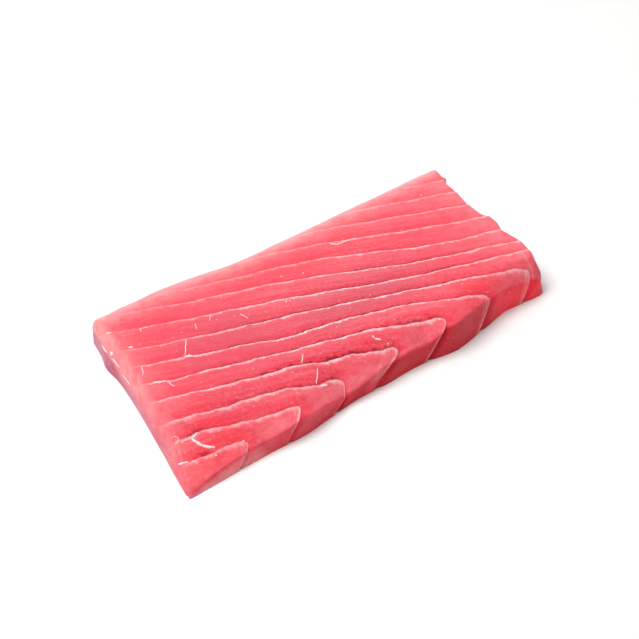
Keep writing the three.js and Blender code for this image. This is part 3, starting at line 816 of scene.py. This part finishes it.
def tuna_flesh():
    """Raw tuna: wet, slightly translucent muscle in long flakes, parted by white tissue.

    Lengths are in metres. The fibres are thinner than 0.3 mm in truth, and drawn coarser. A Map
    Range is given what it reads, the range of that, and the range that it turns it into.
    """
    material = bpy.data.materials.new("raw tuna flesh")
    material.use_nodes = True
    tree = material.node_tree
    tree.nodes.clear()
    tint = add(tree, "ShaderNodeAttribute", attribute_name="tint")
    grained = tint.outputs["Alpha"]
    flake = add(tree, "ShaderNodeAttribute", attribute_name="flake").outputs["Fac"]
    width = add(tree, "ShaderNodeAttribute", attribute_name="flake_width").outputs["Fac"]
    grain = add(tree, "ShaderNodeAttribute", attribute_name="grain").outputs["Vector"]
    lines = add(tree, "ShaderNodeAttribute", attribute_name="lines").outputs["Vector"]
    crest, crevice, line_width = add(tree, "ShaderNodeSeparateXYZ", (lines,)).outputs
    place = add(tree, "ShaderNodeTexCoord").outputs["Object"]

    # How far a point lies past the last seam and before the next one
    share = add(tree, "ShaderNodeMath", (flake,), operation="FRACT")
    past = add(tree, "ShaderNodeMath", (share, width), operation="MULTIPLY")
    before = add(tree, "ShaderNodeMath", (width, past), operation="SUBTRACT")

    # Patterns of the whole piece, and along the fibres and the seams
    broad = add(tree, "ShaderNodeTexNoise", {"Vector": place, "Scale": 40.0, "Detail": 3.0})
    mottle = add(tree, "ShaderNodeTexNoise", {"Vector": place, "Scale": 520.0, "Detail": 4.0})
    fibre_place = add(tree, "ShaderNodeMapping", {"Vector": grain, "Scale": (90.0, 1000.0, 400.0)})
    fibres = add(tree, "ShaderNodeTexNoise", {"Vector": fibre_place, "Scale": 1.0, "Detail": 3.0})
    streak_place = add(tree, "ShaderNodeMapping", {"Vector": grain, "Scale": (25.0, 360.0, 150.0)})
    streaks = add(tree, "ShaderNodeTexNoise", {"Vector": streak_place, "Scale": 1.0, "Detail": 2.0})
    break_place = add(tree, "ShaderNodeMapping", {"Vector": grain, "Scale": (220.0, 30.0, 30.0)})
    breaks = add(tree, "ShaderNodeTexNoise", {"Vector": break_place, "Scale": 1.0, "Detail": 3.0})

    # The far half of a flake is painted paler, as light on its rise to the crest; its streaks and its
    # clouds are paler too.
    lit = add(tree, "ShaderNodeMapRange", (share, 0.3, 1.0, 0.0, 0.5))
    pale = add(tree, "ShaderNodeMapRange", (streaks, 0.48, 0.72, 0.0, 0.6))
    cloud = add(tree, "ShaderNodeMapRange", (mottle, 0.48, 0.7, 0.0, 0.5))
    light = add(tree, "ShaderNodeMath", (lit, pale), operation="ADD")
    light = add(tree, "ShaderNodeMath", (light, cloud), operation="ADD")
    light = add(tree, "ShaderNodeMath", (light, grained), operation="MULTIPLY")
    strength = add(tree, "ShaderNodeMapRange", (light, 0.0, 1.5, 1.0, 0.72))

    # Painted shade where it comes out from under the last one, beside the crevice; deeper red in patches,
    # and darker between fibres.
    shade = add(tree, "ShaderNodeMapRange", (past, 0.001, 0.009, 0.42, 0.0))
    depth = add(tree, "ShaderNodeMapRange", (crevice, 0.0, 1.0, 0.45, 1.0))
    shade = add(tree, "ShaderNodeMath", (shade, depth), operation="MULTIPLY")
    patch = add(tree, "ShaderNodeTexNoise", {"Vector": place, "Scale": 170.0, "Detail": 5.0})
    patch = add(tree, "ShaderNodeMapRange", (patch, 0.55, 0.35, 0.0, 0.4))
    patch = add(tree, "ShaderNodeMath", (patch, shade), operation="MAXIMUM")
    patched = add(tree, "ShaderNodeMix", {0: patch, MIX_A: tint, MIX_B: linear(SHADE_AND_PATCH_RED)}, data_type="RGBA")
    dark = add(tree, "ShaderNodeMapRange", (fibres, 0.5, 0.28, 0.0, 0.35))
    value = add(tree, "ShaderNodeMapRange", (dark, 0.0, 1.0, 1.0, 0.68))
    flesh = add(tree, "ShaderNodeHueSaturation", {
        "Color": patched.outputs[MIXED], "Saturation": strength, "Value": value})

    # Small white flecks
    flecks = add(tree, "ShaderNodeTexVoronoi", {"Vector": place, "Scale": 330.0})
    fleck = add(tree, "ShaderNodeMapRange", (flecks, 0.08, 0.2, 0.35, 0.0))
    some = add(tree, "ShaderNodeMapRange", (mottle, 0.55, 0.62))
    fleck = add(tree, "ShaderNodeMath", (fleck, some), operation="MULTIPLY")

    # The white line along a crest is now thick, now thin, and broken in places.
    thick = add(tree, "ShaderNodeMapRange", (breaks, 0.3, 0.7, 0.0006, 0.0015))
    reach = add(tree, "ShaderNodeMath", (line_width, thick), operation="MULTIPLY")
    ragged = add(tree, "ShaderNodeMapRange", (mottle, 0.35, 0.65, -0.0005, 0.0005))
    ragged = add(tree, "ShaderNodeMath", (before, ragged), operation="ADD")
    before_share = add(tree, "ShaderNodeMath", (ragged, reach), operation="DIVIDE")
    line = add(tree, "ShaderNodeMapRange", (before_share, 0.3, 1.2, 1.0, 0.0))
    broken = add(tree, "ShaderNodeMapRange", (breaks, 0.3, 0.6, 0.35, 1.0))
    crest = add(tree, "ShaderNodeMath", (crest, broken), operation="MULTIPLY")
    crest = add(tree, "ShaderNodeMath", (crest, line), operation="MULTIPLY")

    # The dark gap past a crest, partly dark blood and partly painted shade of the crevice hidden behind it,
    # opens and closes.
    open_to = add(tree, "ShaderNodeMapRange", (breaks, 0.35, 0.65, 0.0015, 0.003))
    past_share = add(tree, "ShaderNodeMath", (past, open_to), operation="DIVIDE")
    gap = add(tree, "ShaderNodeMapRange", (past_share, 0.55, 1.0, 0.85, 0.0))
    gap = add(tree, "ShaderNodeMath", (gap, crevice), operation="MULTIPLY")
    parted = add(tree, "ShaderNodeMapRange", (breaks, 0.42, 0.56, 0.25, 1.0))
    gap = add(tree, "ShaderNodeMath", (gap, parted), operation="MULTIPLY")

    # Dark pits where the flesh is torn, beside the gap
    cells = add(tree, "ShaderNodeTexVoronoi", {"Vector": place, "Scale": 420.0})
    pit = add(tree, "ShaderNodeMapRange", (cells, 0.2, 0.35, 0.62, 0.0))
    beside = add(tree, "ShaderNodeMapRange", (past, 0.002, 0.006, 1.0, 0.0))
    pit = add(tree, "ShaderNodeMath", (pit, beside), operation="MULTIPLY")
    pit = add(tree, "ShaderNodeMath", (pit, crevice), operation="MULTIPLY")

    for part, colour in ((fleck, TISSUE), (crest, TISSUE), (gap, DARK_RED_AND_SHADE), (pit, DARK_RED_AND_SHADE)):
        mixed = add(tree, "ShaderNodeMix", {0: part, MIX_A: flesh, MIX_B: linear(colour)}, data_type="RGBA")
        flesh = mixed.outputs[MIXED]

    height = add(tree, "ShaderNodeMath", (fibres, mottle), operation="ADD")
    bump = add(tree, "ShaderNodeBump", {"Strength": 0.3, "Distance": 0.0004, "Height": height})
    gloss = add(tree, "ShaderNodeMapRange", (broad, 0.3, 0.7, 0.34, 0.48))
    surface = add(tree, "ShaderNodeBsdfPrincipled", {
        "Base Color": flesh,
        "Roughness": gloss,
        "IOR": 1.36,
        "Subsurface Weight": 0.25,
        "Subsurface Radius": (1.0, 0.25, 0.2),
        "Subsurface Scale": 0.003,
        "Normal": bump,
    })
    add(tree, "ShaderNodeOutputMaterial", {"Surface": surface})
    return material


def white_tissue():
    """Loose connective tissue: thin, white and wet, with the red flesh showing through a little."""
    material = bpy.data.materials.new("white connective tissue")
    material.use_nodes = True
    tree = material.node_tree
    tree.nodes.clear()
    surface = add(tree, "ShaderNodeBsdfPrincipled", {
        "Base Color": linear(TISSUE),
        "Roughness": 0.35,
        "IOR": 1.38,
        "Subsurface Weight": 0.2,
        "Subsurface Radius": (1.0, 0.6, 0.6),
        "Subsurface Scale": 0.0005,
    })
    add(tree, "ShaderNodeOutputMaterial", {"Surface": surface})
    return material


# ---- The studio ------------------------------------------------------------------------------
CAMERA_PLACE = Vector((-571.9, -610.3, 548.1))  # in the slab's frame, in mm
CAMERA_TARGET = Vector((-1.5, 1.4, 0.0))
CAMERA_LENS = 96.14  # mm, on a sensor of SENSOR_WIDTH
SENSOR_WIDTH = 36.0
# From here on lengths are in metres.
NEAREST_SEEN = 0.01
FLOOR_SIZE = 8.0
PAPER = "f4f4f2"
PAPER_ROUGHNESS = 0.8
# Each lamp's place, size across and watts, aimed at the origin.
LAMPS = {"key": ((-0.45, 0.35, 1.2), 1.0, 16.0), "back": ((0.7, 0.9, 0.6), 0.9, 2.5)}
ROOM = "ffffff"
ROOM_STRENGTH = 0.5


def camera(shift):
    lens = bpy.data.cameras.new("camera")
    lens.lens = CAMERA_LENS
    lens.sensor_width = SENSOR_WIDTH
    lens.clip_start = NEAREST_SEEN
    seen_from = bpy.data.objects.new("camera", lens)
    seen_from.location = (CAMERA_PLACE + shift) * MM
    aim = (CAMERA_TARGET - CAMERA_PLACE).to_track_quat("-Z", "Y")
    seen_from.rotation_euler = aim.to_euler()
    bpy.context.scene.collection.objects.link(seen_from)
    bpy.context.scene.camera = seen_from


def lamp(name, place, size, watts):
    """A round soft lamp, aimed at the origin."""
    glow = bpy.data.lights.new(name, "AREA")
    glow.shape = "DISK"
    glow.size = size
    glow.energy = watts
    stand = bpy.data.objects.new(name, glow)
    stand.location = place
    stand.rotation_euler = (-Vector(place)).to_track_quat("-Z", "Y").to_euler()
    bpy.context.scene.collection.objects.link(stand)


def studio():
    bpy.ops.object.select_all(action="DESELECT")
    bpy.ops.mesh.primitive_plane_add(size=FLOOR_SIZE)
    floor = bpy.context.object
    floor.name = "studio_floor"
    paper = bpy.data.materials.new("white paper")
    paper.use_nodes = True
    shader = paper.node_tree.nodes["Principled BSDF"]
    shader.inputs["Base Color"].default_value = linear(PAPER)
    shader.inputs["Roughness"].default_value = PAPER_ROUGHNESS
    floor.data.materials.append(paper)
    for name, settings in LAMPS.items():
        lamp(name, *settings)
    world = bpy.data.worlds.new("studio")
    world.use_nodes = True
    room = world.node_tree.nodes["Background"]
    room.inputs["Color"].default_value = linear(ROOM)
    room.inputs["Strength"].default_value = ROOM_STRENGTH
    bpy.context.scene.world = world
    bpy.context.scene.view_settings.view_transform = "Standard"


# ---- Putting it together ---------------------------------------------------------------------
loin = steak()
tissue = loose_tissue(loin.data)
low, high = places(loin.data).min(axis=0), places(loin.data).max(axis=0)
shift = np.array([-(low[0] + high[0]) / 2, -(low[1] + high[1]) / 2, 0.0])
into_frame(loin, shift)
loin.data.materials.append(tuna_flesh())
loin.data.shade_smooth()
loin.data.set_sharp_from_angle(angle=SHARP_FROM)
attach(loin, "root")
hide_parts("tuna_steak")
into_frame(tissue, shift)
tissue.data.materials.append(white_tissue())
tissue.data.shade_smooth()
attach(tissue, "root")

camera(Vector(shift))
studio()
